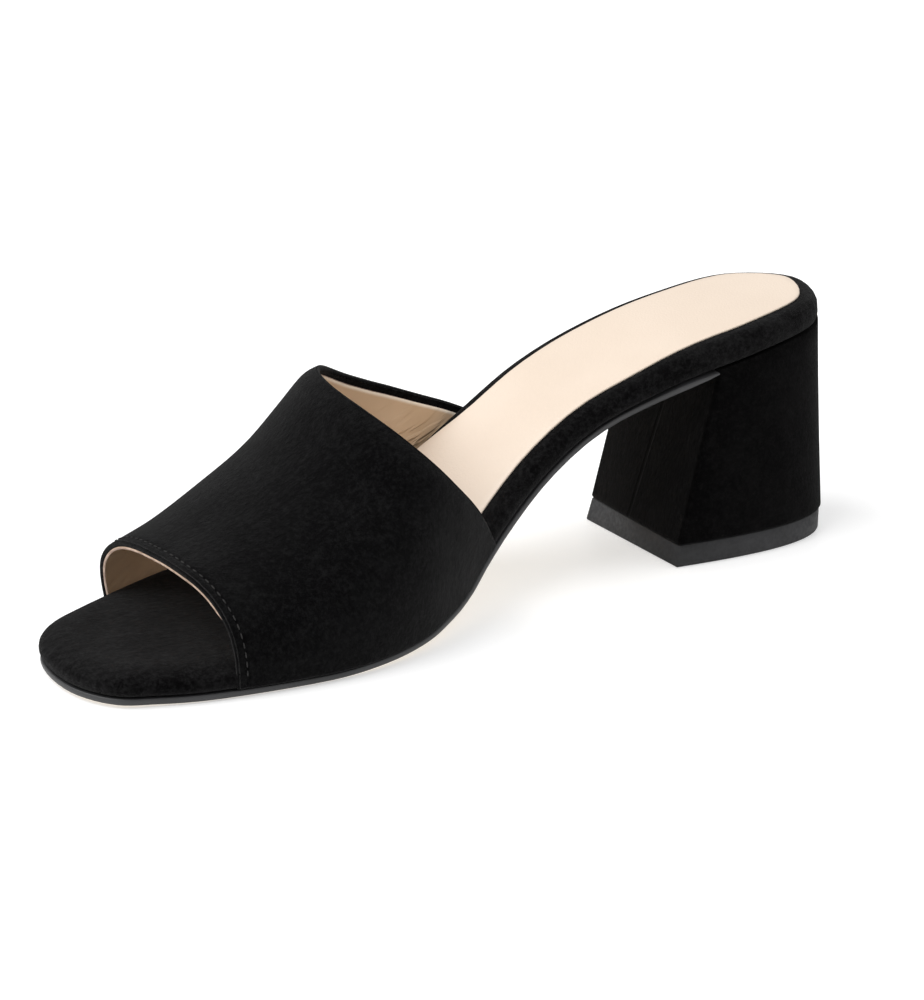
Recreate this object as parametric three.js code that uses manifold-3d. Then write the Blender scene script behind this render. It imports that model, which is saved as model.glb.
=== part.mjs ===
// Open-toe block-heel mule for the right foot, in millimetres, +Z up.
// Last coordinates run x from the back of the heel to the toe, y to the inner (big toe) side.
// The exported group is moved so that the origin is near the middle of the top lift's ground face.
import * as THREE from 'three';
import Module from 'manifold-3d';

// Driving sizes
const lastLength = 230;
const toeReach = 3.4;
const soleLength = lastLength + toeReach;
const ballWidth = 70;
const seatRise = 55;
const toeSpring = 0.4;
const outsoleThickness = 2;
const outsoleSpread = 1.2;
const skiveEdge = 0.35;
const skiveLength = 13;
const insoleThickness = 5.8;
const seatPadding = 1.4;
const seatBlend = 34;
const insoleOverhang = 1.6;
const insoleTuck = 1.4;
const insoleRound = 3.4;
const toePadReach = 5;
const toePadStart = 160;
const toePadBlend = 45;
const sockThickness = 0.9;
const sockMargin = 4.6;
const sockBevel = 0.4;
const sockLength = 168;
const strapWall = 1.6;
const strapOverhang = 1.9;
const instepHeight = 60;
const liftThickness = 6;
const liftLength = 54;
const liftWidth = 44;
const liftSwell = 4.2;
const liftRoundness = 2.7;
const liftInset = 0.5;
const liftFlare = 1.1;
const liftBevel = 0.4;
const breastFootAngle = THREE.MathUtils.degToRad(-8.4);
const breastFootX = 60.4;
const breastFootY = 3.7;
const breastSkew = THREE.MathUtils.degToRad(-2);
const breastTopAngle = THREE.MathUtils.degToRad(-11);
const breastTopX = 43;
const heelOverhang = 0.1;
const heelEdgeRound = 0.9;
const seamGap = 0.3;
const breastGap = 0.8;

// Mesh fineness
const samplesPerSpan = 5;
const heelSamples = 22;
const strapLengthSteps = 20;
const strapGirthSteps = 36;
const slopeStep = 0.5;
const skinStep = 0.01;
const halvings = 40;
const weldsPerMillimetre = 1000;

// Sole outline from above: shares of last length and ball width, to the inner and outer side.
const outlineRows = [
  { along: 0.045, inner: 0.250, outer: 0.238 },
  { along: 0.145, inner: 0.311, outer: 0.312 },
  { along: 0.270, inner: 0.241, outer: 0.342 },
  { along: 0.400, inner: 0.172, outer: 0.338 },
  { along: 0.520, inner: 0.236, outer: 0.378 },
  { along: 0.600, inner: 0.354, outer: 0.464 },
  { along: 0.660, inner: 0.434, outer: 0.513 },
  { along: 0.720, inner: 0.474, outer: 0.528 },
  { along: 0.785, inner: 0.469, outer: 0.526 },
  { along: 0.915, inner: 0.368, outer: 0.406 },
  { along: 0.965, inner: 0.294, outer: 0.328 },
  { along: 0.998, inner: 0.228, outer: 0.200 },
];
const toeShift = 0.06;

// Side profile of the insole's underside: shares of last length and of the rise above the forefoot.
const profileRows = [
  { along: 0.00, rise: 1.000 },
  { along: 0.11, rise: 0.950 },
  { along: 0.22, rise: 0.866 },
  { along: 0.33, rise: 0.734 },
  { along: 0.42, rise: 0.530 },
  { along: 0.500, rise: 0.300 },
  { along: 0.535, rise: 0.194 },
  { along: 0.570, rise: 0.106 },
  { along: 0.610, rise: 0.056 },
  { along: 0.652, rise: 0.027 },
  { along: 0.720, rise: 0.009 },
  { along: 0.790, rise: 0.000 },
  { along: 1.00, rise: 0.000 },
];
const springStart = 0.9;

// Edge sections, bottom first: shares of the thickness and of the sideways size.
const outsoleEdge = [
  { down: 1, out: 0.65 },
  { down: 0.75, out: 0.95 },
  { down: 0.25, out: 1 },
  { down: 0, out: 0.85 },
];
const insoleSide = [
  { up: 0, tuck: 1 },
  { up: 0.12, tuck: 0.3 },
  { up: 0.35, tuck: 0 },
];
const insoleBorder = [15, 40, 65, 90];
const sockEdge = [
  { up: 0, inward: 0 },
  { up: 0.6, inward: 0 },
  { up: 1, inward: 1 },
];
const heelLevels = [0.25, 0.5, 0.75];

// Cross sections of the last under the strap: shares of last length, instep height and ball width.
const lastRows = [
  { along: 0.37, crown: 1.750, ridge: -0.080, swell: 0.080, arch: 2.10 },
  { along: 0.48, crown: 1.495, ridge: -0.078, swell: 0.080, arch: 2.10 },
  { along: 0.57, crown: 1.240, ridge: -0.075, swell: 0.066, arch: 2.10 },
  { along: 0.65, crown: 1.008, ridge: -0.070, swell: 0.044, arch: 2.10 },
  { along: 0.70, crown: 0.818, ridge: -0.067, swell: 0.034, arch: 2.10 },
  { along: 0.76, crown: 0.660, ridge: -0.062, swell: 0.024, arch: 2.15 },
  { along: 0.83, crown: 0.530, ridge: -0.058, swell: 0.012, arch: 2.25 },
  { along: 0.90, crown: 0.447, ridge: -0.054, swell: 0.000, arch: 2.60 },
];

// Strap edges by angle round the foot, from the inner sole edge over the crown to the outer one.
const strapRows = [
  { around: 0, back: 0.514, front: 0.892 },
  { around: 15, back: 0.555, front: 0.892 },
  { around: 30, back: 0.600, front: 0.893 },
  { around: 45, back: 0.633, front: 0.895 },
  { around: 60, back: 0.653, front: 0.897 },
  { around: 75, back: 0.662, front: 0.899 },
  { around: 90, back: 0.661, front: 0.898 },
  { around: 110, back: 0.642, front: 0.895 },
  { around: 130, back: 0.598, front: 0.891 },
  { around: 150, back: 0.532, front: 0.886 },
  { around: 165, back: 0.468, front: 0.878 },
  { around: 180, back: 0.392, front: 0.868 },
];

const forefootLevel = outsoleThickness + seamGap;

// Slopes at a table's row: one never overshoots the rows, the other bends evenly through them.
function levelSlope(rates, spans, i) {
  if (rates[i - 1] * rates[i] <= 0) return 0;
  const before = 2 * spans[i] + spans[i - 1];
  const after = spans[i] + 2 * spans[i - 1];
  return (before + after) / (before / rates[i - 1] + after / rates[i]);
}
function evenSlope(rates, spans, i) {
  return (rates[i - 1] * spans[i] + rates[i] * spans[i - 1]) / (spans[i - 1] + spans[i]);
}

// A smooth curve through the rows of a table.
function through(rows, key, column, slopeAt) {
  const xs = rows.map((row) => row[key]);
  const ys = rows.map((row) => row[column]);
  const spans = xs.slice(1).map((x, i) => x - xs[i]);
  const rates = spans.map((span, i) => (ys[i + 1] - ys[i]) / span);
  const slopes = xs.map((_, i) => {
    if (i === 0) return rates[0];
    if (i === xs.length - 1) return rates[i - 1];
    return slopeAt(rates, spans, i);
  });
  return (x) => {
    let i = xs.findIndex((edge) => x < edge) - 1;
    if (i < 0) i = x < xs[0] ? 0 : xs.length - 2;
    const t = (x - xs[i]) / spans[i];
    const rest = 1 - t;
    return (1 + 2 * t) * rest * rest * ys[i] + t * t * (3 - 2 * t) * ys[i + 1]
      + spans[i] * t * rest * (rest * slopes[i] - t * slopes[i + 1]);
  };
}

// Sole outline as one closed curve, heel back first, then the inner side, toe and outer side.
function makeOutline() {
  const inner = outlineRows.map((row) => [row.along * lastLength, row.inner * ballWidth]);
  const outer = outlineRows.map((row) => [row.along * lastLength, -row.outer * ballWidth]);
  const plan = [[0, 0], ...inner, [soleLength, toeShift * ballWidth], ...outer.reverse()];
  return new THREE.CatmullRomCurve3(plan.map(([x, y]) => new THREE.Vector3(x, y, 0)), true, 'centripetal');
}
const outline = makeOutline();

// Point of the outline moved outwards by some millimetres, on the inner (+1) or outer (-1) side.
function railPoint(side, share, outset) {
  const u = side > 0 ? share / 2 : 1 - share / 2;
  const point = outline.getPoint(u % 1);
  const tangent = outline.getTangent(u % 1);
  return new THREE.Vector3(point.x - tangent.y * outset, point.y + tangent.x * outset, 0);
}

// Share of the way from heel back to toe at which one side of the outline passes x.
function shareAt(side, x) {
  let low = 0;
  let high = 1;
  for (let k = 0; k < halvings; k += 1) {
    const middle = (low + high) / 2;
    if (railPoint(side, middle, 0).x < x) low = middle;
    else high = middle;
  }
  return (low + high) / 2;
}

function halfWidth(side, x) {
  return Math.abs(railPoint(side, shareAt(side, x), 0).y);
}

// Height and slope of the insole's underside, the surface that every layer follows.
const riseAt = through(profileRows, 'along', 'rise', levelSlope);
function feather(x) {
  const along = THREE.MathUtils.clamp(x / lastLength, 0, 1);
  const tip = Math.max(0, (along - springStart) / (1 - springStart));
  return forefootLevel + riseAt(along) * (seatRise - forefootLevel) + toeSpring * tip * tip;
}
function featherAngle(x) {
  return Math.atan2(feather(x + slopeStep) - feather(x - slopeStep), 2 * slopeStep);
}

// Moves a plan point onto the layer that lies some height above the insole's underside.
function onLayer(plan, height) {
  const angle = featherAngle(plan.x);
  const x = plan.x - height * Math.sin(angle);
  return new THREE.Vector3(x, plan.y, feather(plan.x) + height * Math.cos(angle));
}

// Turns a list of triangles of points into one closed geometry without needle faces.
function closedBody(triangles) {
  const index = new Map();
  const positions = [];
  const faces = [];
  const idOf = (point) => {
    const key = [point.x, point.y, point.z].map((value) => Math.round(value * weldsPerMillimetre)).join(' ');
    if (!index.has(key)) {
      index.set(key, positions.length / 3);
      positions.push(point.x, point.y, point.z);
    }
    return index.get(key);
  };
  for (const corners of triangles) {
    const [a, b, c] = corners.map(idOf);
    if (a !== b && b !== c && c !== a) faces.push(a, b, c);
  }
  const body = new THREE.BufferGeometry();
  body.setAttribute('position', new THREE.Float32BufferAttribute(positions, 3));
  body.setIndex(faces);
  return body;
}

function quad(a, b, c, d) {
  return [[a, b, c], [a, c, d]];
}

// A plate or block from levels, bottom first. Each level has an inner and an outer rail, heel to toe.
function plate(levels) {
  const triangles = [];
  const last = levels[0].inner.length - 1;
  for (let k = 1; k < levels.length; k += 1) {
    const low = levels[k - 1];
    const high = levels[k];
    for (let i = 0; i < last; i += 1) {
      triangles.push(...quad(low.inner[i + 1], low.inner[i], high.inner[i], high.inner[i + 1]));
      triangles.push(...quad(low.outer[i], low.outer[i + 1], high.outer[i + 1], high.outer[i]));
    }
    triangles.push(...quad(low.inner[0], low.outer[0], high.outer[0], high.inner[0]));
    triangles.push(...quad(low.outer[last], low.inner[last], high.inner[last], high.outer[last]));
  }
  const bottom = levels[0];
  const top = levels[levels.length - 1];
  for (let i = 0; i < last; i += 1) {
    triangles.push(...quad(bottom.inner[i], bottom.inner[i + 1], bottom.outer[i + 1], bottom.outer[i]));
    triangles.push(...quad(top.outer[i], top.outer[i + 1], top.inner[i + 1], top.inner[i]));
  }
  return closedBody(triangles);
}

// Stations shared by every layer of the sole, evenly spread round the outline.
function makeStations() {
  const steps = samplesPerSpan * (outlineRows.length + 1);
  const shares = Array.from({ length: steps + 1 }, (_, i) => i / steps);
  return shares.map((share) => (railPoint(1, share, 0).x + railPoint(-1, share, 0).x) / 2);
}
const stationXs = makeStations();

// One level of a plate: both rails over a stretch, at an outset and a height above the feather.
function level(stretch, outsetAt, heightAt) {
  const from = Math.max(stretch(1)[0], stretch(-1)[0]);
  const to = stretch(1)[1];
  const between = stationXs.filter((x) => x > from + slopeStep && x < to - slopeStep);
  const rail = (side) => [stretch(side)[0], ...between, to].map((x) => {
    const end = x <= 0 ? 0 : 1;
    const inside = x > 0 && x < soleLength;
    const plan = railPoint(side, inside ? shareAt(side, x) : end, outsetAt(x));
    return onLayer(plan, heightAt(plan.x));
  });
  return { inner: rail(1), outer: rail(-1) };
}
const wholeLength = () => [0, soleLength];

// Where the heel breast meets the sole on one side.
function breastTopAt(side) {
  return breastTopX - side * halfWidth(side, breastTopX) * Math.tan(breastTopAngle);
}

// Thin sole under the forefoot and shank, rounded off to an edge where it meets the heel breast.
function makeOutsole() {
  const stretch = (side) => [breastTopAt(side) + breastGap, soleLength];
  const skiveStart = stretch(1)[0];
  const thicknessAt = (x) => {
    const short = 1 - THREE.MathUtils.clamp((x - skiveStart) / skiveLength, 0, 1);
    return skiveEdge + (outsoleThickness - skiveEdge) * Math.sqrt(1 - short * short);
  };
  return plate(outsoleEdge.map(({ down, out }) => level(stretch,
    () => outsoleSpread * out, (x) => -seamGap - down * thicknessAt(x))));
}

// The insole is thicker over the heel, where its edge also draws in to the heel cover.
function forwardOfHeel(x) {
  return THREE.MathUtils.smoothstep(x, breastTopX, breastTopX + seatBlend);
}
function insoleHeight(x) {
  return insoleThickness + seatPadding * (1 - forwardOfHeel(x));
}
function overhangAt(x) {
  return heelOverhang + (insoleOverhang - heelOverhang) * forwardOfHeel(x);
}

// Padded insole board wrapped in suede, with a rounded border that grows wider and softer at the toe.
function makeInsole() {
  const borderReach = (x) => insoleRound
    + toePadReach * THREE.MathUtils.smoothstep(x, toePadStart, toePadStart + toePadBlend);
  const side = insoleSide.map(({ up, tuck }) => level(wholeLength,
    (x) => overhangAt(x) - insoleTuck * tuck, (x) => insoleHeight(x) * up));
  const border = insoleBorder.map((degrees) => {
    const angle = THREE.MathUtils.degToRad(degrees);
    return level(wholeLength,
      (x) => overhangAt(x) - borderReach(x) * (1 - Math.cos(angle)),
      (x) => insoleHeight(x) - insoleRound * (1 - Math.sin(angle)));
  });
  return plate([...side, ...border]);
}

// Leather sock glued on the insole from the heel to under the strap.
function makeSock() {
  const stretch = () => [0, sockLength];
  return plate(sockEdge.map(({ up, inward }) => level(stretch,
    (x) => overhangAt(x) - sockMargin - sockBevel * inward,
    (x) => insoleHeight(x) + seamGap + up * sockThickness)));
}

// Rails of the heel's foot: a flat breast, swelling sides and a round back, turned by the breast angle.
// Towards the ground the breast comes forward, and towards the cover it turns a little further.
function liftRails(inset, z) {
  const forward = liftFlare * (1 - z / liftThickness);
  const skew = Math.tan(breastSkew * z / liftThickness);
  const rail = (side) => Array.from({ length: heelSamples + 1 }, (_, i) => {
    const reach = Math.sin((1 - i / heelSamples) * Math.PI / 2);
    const round = Math.max(0, 1 - reach ** liftRoundness) ** (1 / liftRoundness);
    const y = side * (liftWidth / 2 - inset + liftSwell * reach) * round;
    const x = (forward - y * skew) * (1 - reach) - inset - (liftLength - 2 * inset) * reach;
    const turned = new THREE.Vector2(x, y).rotateAround(new THREE.Vector2(0, 0), breastFootAngle);
    return new THREE.Vector3(breastFootX + turned.x, breastFootY + turned.y, z);
  });
  return { inner: rail(1), outer: rail(-1) };
}

function makeTopLift() {
  return plate([
    liftRails(liftInset + liftBevel, 0),
    liftRails(liftInset, liftBevel),
    liftRails(liftInset, liftThickness),
  ]);
}

// Rails of the heel's top, just under the insole, ending at the breast.
function seatRails() {
  const rail = (side) => {
    const to = shareAt(side, breastTopAt(side));
    return Array.from({ length: heelSamples + 1 }, (_, i) => {
      const plan = railPoint(side, to * i / heelSamples, heelOverhang);
      return onLayer(plan, -seamGap);
    });
  };
  return { inner: rail(1), outer: rail(-1) };
}

// Flared block heel, lofted from the foot of the block to the seat.
function makeHeel() {
  const foot = liftRails(0, liftThickness);
  const seat = seatRails();
  const mix = (share) => {
    const blend = (side) => foot[side].map((point, i) => point.clone().lerp(seat[side][i], share));
    return { inner: blend('inner'), outer: blend('outer') };
  };
  const round = heelEdgeRound / (seatRise - liftThickness);
  const tucked = liftRails(heelEdgeRound / 2, liftThickness);
  return plate([tucked, mix(round), ...heelLevels.map(mix), seat]);
}

// Outer surface of the strap over the last, by x and by angle round the foot.
const crownAt = through(lastRows, 'along', 'crown', evenSlope);
const ridgeAt = through(lastRows, 'along', 'ridge', evenSlope);
const swellAt = through(lastRows, 'along', 'swell', evenSlope);
const archAt = through(lastRows, 'along', 'arch', evenSlope);
function lastPoint(x, around, outset) {
  const along = x / lastLength;
  const side = around < 90 ? 1 : -1;
  const angle = THREE.MathUtils.degToRad(around);
  const power = 2 / archAt(along);
  const ridge = ridgeAt(along) * ballWidth;
  const swell = swellAt(along) * ballWidth * Math.abs(Math.sin(2 * angle));
  const reach = side * (halfWidth(side, x) + outset + swell) - ridge;
  const rise = Math.max(0, Math.sin(angle)) ** power;
  const base = feather(x);
  const y = ridge + reach * Math.abs(Math.cos(angle)) ** power;
  return new THREE.Vector3(x, y, base + (crownAt(along) * instepHeight - base) * rise);
}

// One skin of the strap at a depth under its outer face, stretched past its edges by some reach.
const strapBack = through(strapRows, 'around', 'back', evenSlope);
const strapFront = through(strapRows, 'around', 'front', evenSlope);
function strapSkin(depth, reach, drop) {
  const place = (u, v) => {
    const around = 180 * v;
    const back = strapBack(around) * lastLength - reach;
    const front = strapFront(around) * lastLength + reach;
    return lastPoint(back + (front - back) * u, around, strapOverhang);
  };
  return Array.from({ length: strapLengthSteps + 1 }, (_, i) => {
    const u = i / strapLengthSteps;
    return Array.from({ length: strapGirthSteps + 1 }, (__, j) => {
      const v = j / strapGirthSteps;
      const point = place(u, v);
      const lengthwise = place(Math.min(1, u + skinStep), v).sub(place(Math.max(0, u - skinStep), v));
      const girthwise = place(u, Math.min(1, v + skinStep)).sub(place(u, Math.max(0, v - skinStep)));
      const outward = girthwise.cross(lengthwise).normalize();
      const atSole = j === 0 || j === strapGirthSteps;
      if (atSole) outward.setZ(0).normalize();
      point.addScaledVector(outward, -depth);
      if (atSole) point.z -= drop;
      return point;
    });
  });
}

// A wall between two skins, closed along its four edges.
function wall(outside, inside) {
  const triangles = [];
  const rows = outside.length - 1;
  const columns = outside[0].length - 1;
  for (let i = 0; i < rows; i += 1) {
    for (let j = 0; j < columns; j += 1) {
      triangles.push(...quad(outside[i][j], outside[i][j + 1], outside[i + 1][j + 1], outside[i + 1][j]));
      triangles.push(...quad(inside[i + 1][j], inside[i + 1][j + 1], inside[i][j + 1], inside[i][j]));
    }
    triangles.push(...quad(outside[i][0], outside[i + 1][0], inside[i + 1][0], inside[i][0]));
    triangles.push(...quad(outside[i + 1][columns], outside[i][columns],
      inside[i][columns], inside[i + 1][columns]));
  }
  for (let j = 0; j < columns; j += 1) {
    triangles.push(...quad(outside[0][j + 1], outside[0][j], inside[0][j], inside[0][j + 1]));
    triangles.push(...quad(outside[rows][j], outside[rows][j + 1], inside[rows][j + 1], inside[rows][j]));
  }
  return closedBody(triangles);
}

function makeUpper() {
  return wall(strapSkin(0, 0, 0), strapSkin(strapWall, 0, 0));
}

// The room that the strap needs in the side of the insole.
function makeStrapRoom() {
  const beyond = 2 * insoleOverhang;
  const reach = 2 * seamGap;
  return wall(strapSkin(-beyond, reach, seamGap), strapSkin(strapWall + seamGap, reach, seamGap));
}

const wasm = await Module();
wasm.setup();

function toSolid(geometry) {
  return new wasm.Manifold(new wasm.Mesh({
    numProp: 3,
    vertProperties: new Float32Array(geometry.attributes.position.array),
    triVerts: new Uint32Array(geometry.index.array),
  }));
}

function fromSolid(solid) {
  const mesh = solid.getMesh();
  const geometry = new THREE.BufferGeometry();
  geometry.setAttribute('position', new THREE.BufferAttribute(mesh.vertProperties, 3));
  geometry.setIndex(new THREE.BufferAttribute(mesh.triVerts, 1));
  return geometry;
}

const suede = { color: 0x17171a, roughness: 0.95, metalness: 0 };
const soleLeather = { color: 0xe6cfae, roughness: 0.45, metalness: 0 };
const sockLeather = { color: 0xecd3bd, roughness: 0.5, metalness: 0 };
const liftRubber = { color: 0x3c3b40, roughness: 0.7, metalness: 0 };

const sandal = new THREE.Group();
const middle = new THREE.Vector2(-liftLength / 2, 0).rotateAround(new THREE.Vector2(0, 0), breastFootAngle);
sandal.position.set(-breastFootX - middle.x, -breastFootY - middle.y, 0);

function add(name, geometry, finish) {
  const mesh = new THREE.Mesh(geometry, new THREE.MeshStandardMaterial(finish));
  mesh.name = name;
  sandal.add(mesh);
}

add('outsole', makeOutsole(), soleLeather);
add('insole', fromSolid(toSolid(makeInsole()).subtract(toSolid(makeStrapRoom()))), suede);
add('sock_lining', makeSock(), sockLeather);
add('heel', makeHeel(), suede);
add('top_lift', makeTopLift(), liftRubber);
add('upper', makeUpper(), suede);

export default sandal;
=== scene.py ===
import math

import bmesh
import bpy
from mathutils import Matrix, Vector


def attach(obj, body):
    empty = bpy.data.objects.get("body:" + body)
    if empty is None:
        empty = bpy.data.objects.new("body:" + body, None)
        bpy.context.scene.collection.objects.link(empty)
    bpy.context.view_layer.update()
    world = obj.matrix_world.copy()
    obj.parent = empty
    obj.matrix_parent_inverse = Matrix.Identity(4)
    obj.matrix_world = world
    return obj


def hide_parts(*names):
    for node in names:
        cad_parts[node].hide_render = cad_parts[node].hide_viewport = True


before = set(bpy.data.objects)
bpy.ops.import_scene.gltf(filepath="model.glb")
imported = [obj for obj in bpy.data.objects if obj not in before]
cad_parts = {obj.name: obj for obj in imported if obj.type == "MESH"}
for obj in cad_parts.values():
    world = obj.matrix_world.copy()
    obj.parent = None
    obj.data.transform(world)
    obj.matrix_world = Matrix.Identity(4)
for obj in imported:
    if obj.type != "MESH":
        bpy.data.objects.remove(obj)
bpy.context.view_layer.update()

# Sizes in millimetres, in last coordinates: x from heel back to toe, y to the inner side, z up.
LAST_LENGTH = 230
SOLE_LENGTH = 233.4
BALL_WIDTH = 70
SEAT_RISE = 55
TOE_SPRING = 0.4
OUTSOLE_THICKNESS = 2
OUTSOLE_SPREAD = 1.2
SKIVE_EDGE = 0.35
SKIVE_LENGTH = 13
INSOLE_THICKNESS = 5.8
INSOLE_TUCK = 1.4
SEAT_PADDING = 1.4
SEAT_BLEND = 34
INSOLE_OVERHANG = 1.6
INSOLE_ROUND = 3.4
TOE_PAD_REACH = 5
TOE_PAD_START = 160
TOE_PAD_BLEND = 45
SOCK_MARGIN = 4.6
SOCK_LENGTH = 168
STRAP_WALL = 1.6
STRAP_OVERHANG = 1.9
INSTEP_HEIGHT = 60
LIFT_THICKNESS = 6
LIFT_LENGTH = 54
LIFT_WIDTH = 44
LIFT_SWELL = 4.2
LIFT_ROUNDNESS = 2.7
LIFT_INSET = 0.5
LIFT_FLARE = 1.1
BREAST_FOOT_ANGLE = math.radians(-8.4)
BREAST_FOOT_X = 60.4
BREAST_FOOT_Y = 3.7
BREAST_SKEW = math.radians(-2)
BREAST_TOP_ANGLE = math.radians(-11)
BREAST_TOP_X = 43
HEEL_OVERHANG = 0.1
SEAM_GAP = 0.3
BREAST_GAP = 0.8
FOREFOOT_LEVEL = OUTSOLE_THICKNESS + SEAM_GAP
TOE_SHIFT = 0.06
SPRING_START = 0.9

# Fine shapes that only this file has, in millimetres.
EDGE_FOLD = 2.3
FRONT_FOLD_AT_SOLE = 0.9
STRAP_EDGE_ROUND = 0.6
ROLL_DEPTH = 1.2
ROLL_REACH = 4.5
ROLL_RIDGE = 0.45
LINING_THICKNESS = 0.7
LINING_SINK = 0.25
LINING_EDGE_ROUND = 0.12
STITCH_INSET = 2.4
STITCH_LENGTH = 1.6
STITCH_GAP = 0.7
STITCH_PROUD = 0.05
STITCH_GROOVE = 0.22
STITCH_GROOVE_WIDTH = 0.4
THREAD_WIDTH = 0.42
THREAD_FLATNESS = 0.7
SOCK_PROUD = 0.6
SOCK_SINK = 0.05
SOCK_WIDENING = 2.4
SOCK_WIDENING_START = 92
SOCK_WIDENING_BLEND = 20
HEEL_CORNER_ROUND = 0.9
HEEL_SEAT_GAP = 0.12

# Where the flat slabs are cut across so that they can bend, and how near is the same place.
SLICE_START = 8
SLICE_END = 224
SLICE_STEP = 4
SKIVE_STEP = 1
SAME_PLACE = 0.0001

# Shares of the way round the strap, from the inner sole edge to the outer one.
FRONT_FOLD_REACH = 0.24
FRONT_FOLD_BLEND = 0.1
LINING_START = 0.008
STITCH_START = 0.03
STITCH_PROBE = 0.002

# Two faces that meet at more than this angle make a corner, and an edge that rises by more than
# this share of its length is upright.
CORNER_ANGLE = math.radians(50)
UPRIGHT = 0.4

# Marks in the materials, in the frame's metres.
SEAM_Y = -0.0068
SEAM_HALF_WIDTH = 0.0008
RIBS_X = 0.150
RIBS_Y = -0.009
RIBS_HALF_LENGTH = 0.048
RIBS_HALF_WIDTH = 0.024
RIB_PITCH = 0.0024
GRID_PITCH = 0.0022

# Sole outline: shares of last length and ball width.
OUTLINE = [
    {"along": 0.045, "inner": 0.250, "outer": 0.238},
    {"along": 0.145, "inner": 0.311, "outer": 0.312},
    {"along": 0.270, "inner": 0.241, "outer": 0.342},
    {"along": 0.400, "inner": 0.172, "outer": 0.338},
    {"along": 0.520, "inner": 0.236, "outer": 0.378},
    {"along": 0.600, "inner": 0.354, "outer": 0.464},
    {"along": 0.660, "inner": 0.434, "outer": 0.513},
    {"along": 0.720, "inner": 0.474, "outer": 0.528},
    {"along": 0.785, "inner": 0.469, "outer": 0.526},
    {"along": 0.915, "inner": 0.368, "outer": 0.406},
    {"along": 0.965, "inner": 0.294, "outer": 0.328},
    {"along": 0.998, "inner": 0.228, "outer": 0.200},
]

# Side profile of the insole's underside: shares of last length and of the rise.
PROFILE = [
    {"along": 0.00, "rise": 1.000},
    {"along": 0.11, "rise": 0.950},
    {"along": 0.22, "rise": 0.866},
    {"along": 0.33, "rise": 0.734},
    {"along": 0.42, "rise": 0.530},
    {"along": 0.500, "rise": 0.300},
    {"along": 0.535, "rise": 0.194},
    {"along": 0.570, "rise": 0.106},
    {"along": 0.610, "rise": 0.056},
    {"along": 0.652, "rise": 0.027},
    {"along": 0.720, "rise": 0.009},
    {"along": 0.790, "rise": 0.000},
    {"along": 1.00, "rise": 0.000},
]

# Sections of the last under the strap: shares of last length, instep height and ball width.
# The arch is the power of a section's curve: 2 is an ellipse, more is squarer.
LAST = [
    {"along": 0.37, "crown": 1.750, "ridge": -0.080, "swell": 0.080, "arch": 2.10},
    {"along": 0.48, "crown": 1.495, "ridge": -0.078, "swell": 0.080, "arch": 2.10},
    {"along": 0.57, "crown": 1.240, "ridge": -0.075, "swell": 0.066, "arch": 2.10},
    {"along": 0.65, "crown": 1.008, "ridge": -0.070, "swell": 0.044, "arch": 2.10},
    {"along": 0.70, "crown": 0.818, "ridge": -0.067, "swell": 0.034, "arch": 2.10},
    {"along": 0.76, "crown": 0.660, "ridge": -0.062, "swell": 0.024, "arch": 2.15},
    {"along": 0.83, "crown": 0.530, "ridge": -0.058, "swell": 0.012, "arch": 2.25},
    {"along": 0.90, "crown": 0.447, "ridge": -0.054, "swell": 0.000, "arch": 2.60},
]

# Strap edges by the angle round the foot, from the inner sole edge over the crown: shares of
# last length.
STRAP = [
    {"around": 0, "back": 0.514, "front": 0.892},
    {"around": 15, "back": 0.555, "front": 0.892},
    {"around": 30, "back": 0.600, "front": 0.893},
    {"around": 45, "back": 0.633, "front": 0.895},
    {"around": 60, "back": 0.653, "front": 0.897},
    {"around": 75, "back": 0.662, "front": 0.899},
    {"around": 90, "back": 0.661, "front": 0.898},
    {"around": 110, "back": 0.642, "front": 0.895},
    {"around": 130, "back": 0.598, "front": 0.891},
    {"around": 150, "back": 0.532, "front": 0.886},
    {"around": 165, "back": 0.468, "front": 0.878},
    {"around": 180, "back": 0.392, "front": 0.868},
]

# From last millimetres to the frame's metres, with zero at the middle of the lift's ground face.
lift_middle = Matrix.Rotation(BREAST_FOOT_ANGLE, 2) @ Vector((-LIFT_LENGTH / 2, 0))
to_zero = Vector((-BREAST_FOOT_X - lift_middle.x, -BREAST_FOOT_Y - lift_middle.y, 0))
TO_FRAME = Matrix.Scale(0.001, 4) @ Matrix.Translation(to_zero)


def clamp(value, low=0.0, high=1.0):
    return max(low, min(high, value))


def ease(value, start, end):
    share = clamp((value - start) / (end - start))
    return share * share * (3 - 2 * share)


def level_slope(before, after, span_before, span_after):
    """Slope at a row that never overshoots it."""
    if before * after <= 0:
        return 0
    weights = 2 * span_after + span_before, span_after + 2 * span_before
    return sum(weights) / (weights[0] / before + weights[1] / after)


def even_slope(before, after, span_before, span_after):
    """Slope at a row that bends evenly through it."""
    return (before * span_after + after * span_before) / (span_before + span_after)


def through(rows, key, column, slope_at=even_slope):
    """A smooth curve through a table's rows."""
    xs = [row[key] for row in rows]
    ys = [row[column] for row in rows]
    spans = [b - a for a, b in zip(xs, xs[1:])]
    rates = [(b - a) / span for a, b, span in zip(ys, ys[1:], spans)]
    slopes = [rates[0]]
    for i in range(1, len(rates)):
        slopes.append(slope_at(rates[i - 1], rates[i], spans[i - 1], spans[i]))
    slopes.append(rates[-1])

    def value(x):
        i = sum(edge <= x for edge in xs) - 1
        i = max(0, min(len(spans) - 1, i))
        t = (x - xs[i]) / spans[i]
        rest = 1 - t
        start = (1 + 2 * t) * rest * rest * ys[i]
        end = t * t * (3 - 2 * t) * ys[i + 1]
        return start + end + spans[i] * t * rest * (rest * slopes[i] - t * slopes[i + 1])

    return value


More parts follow.
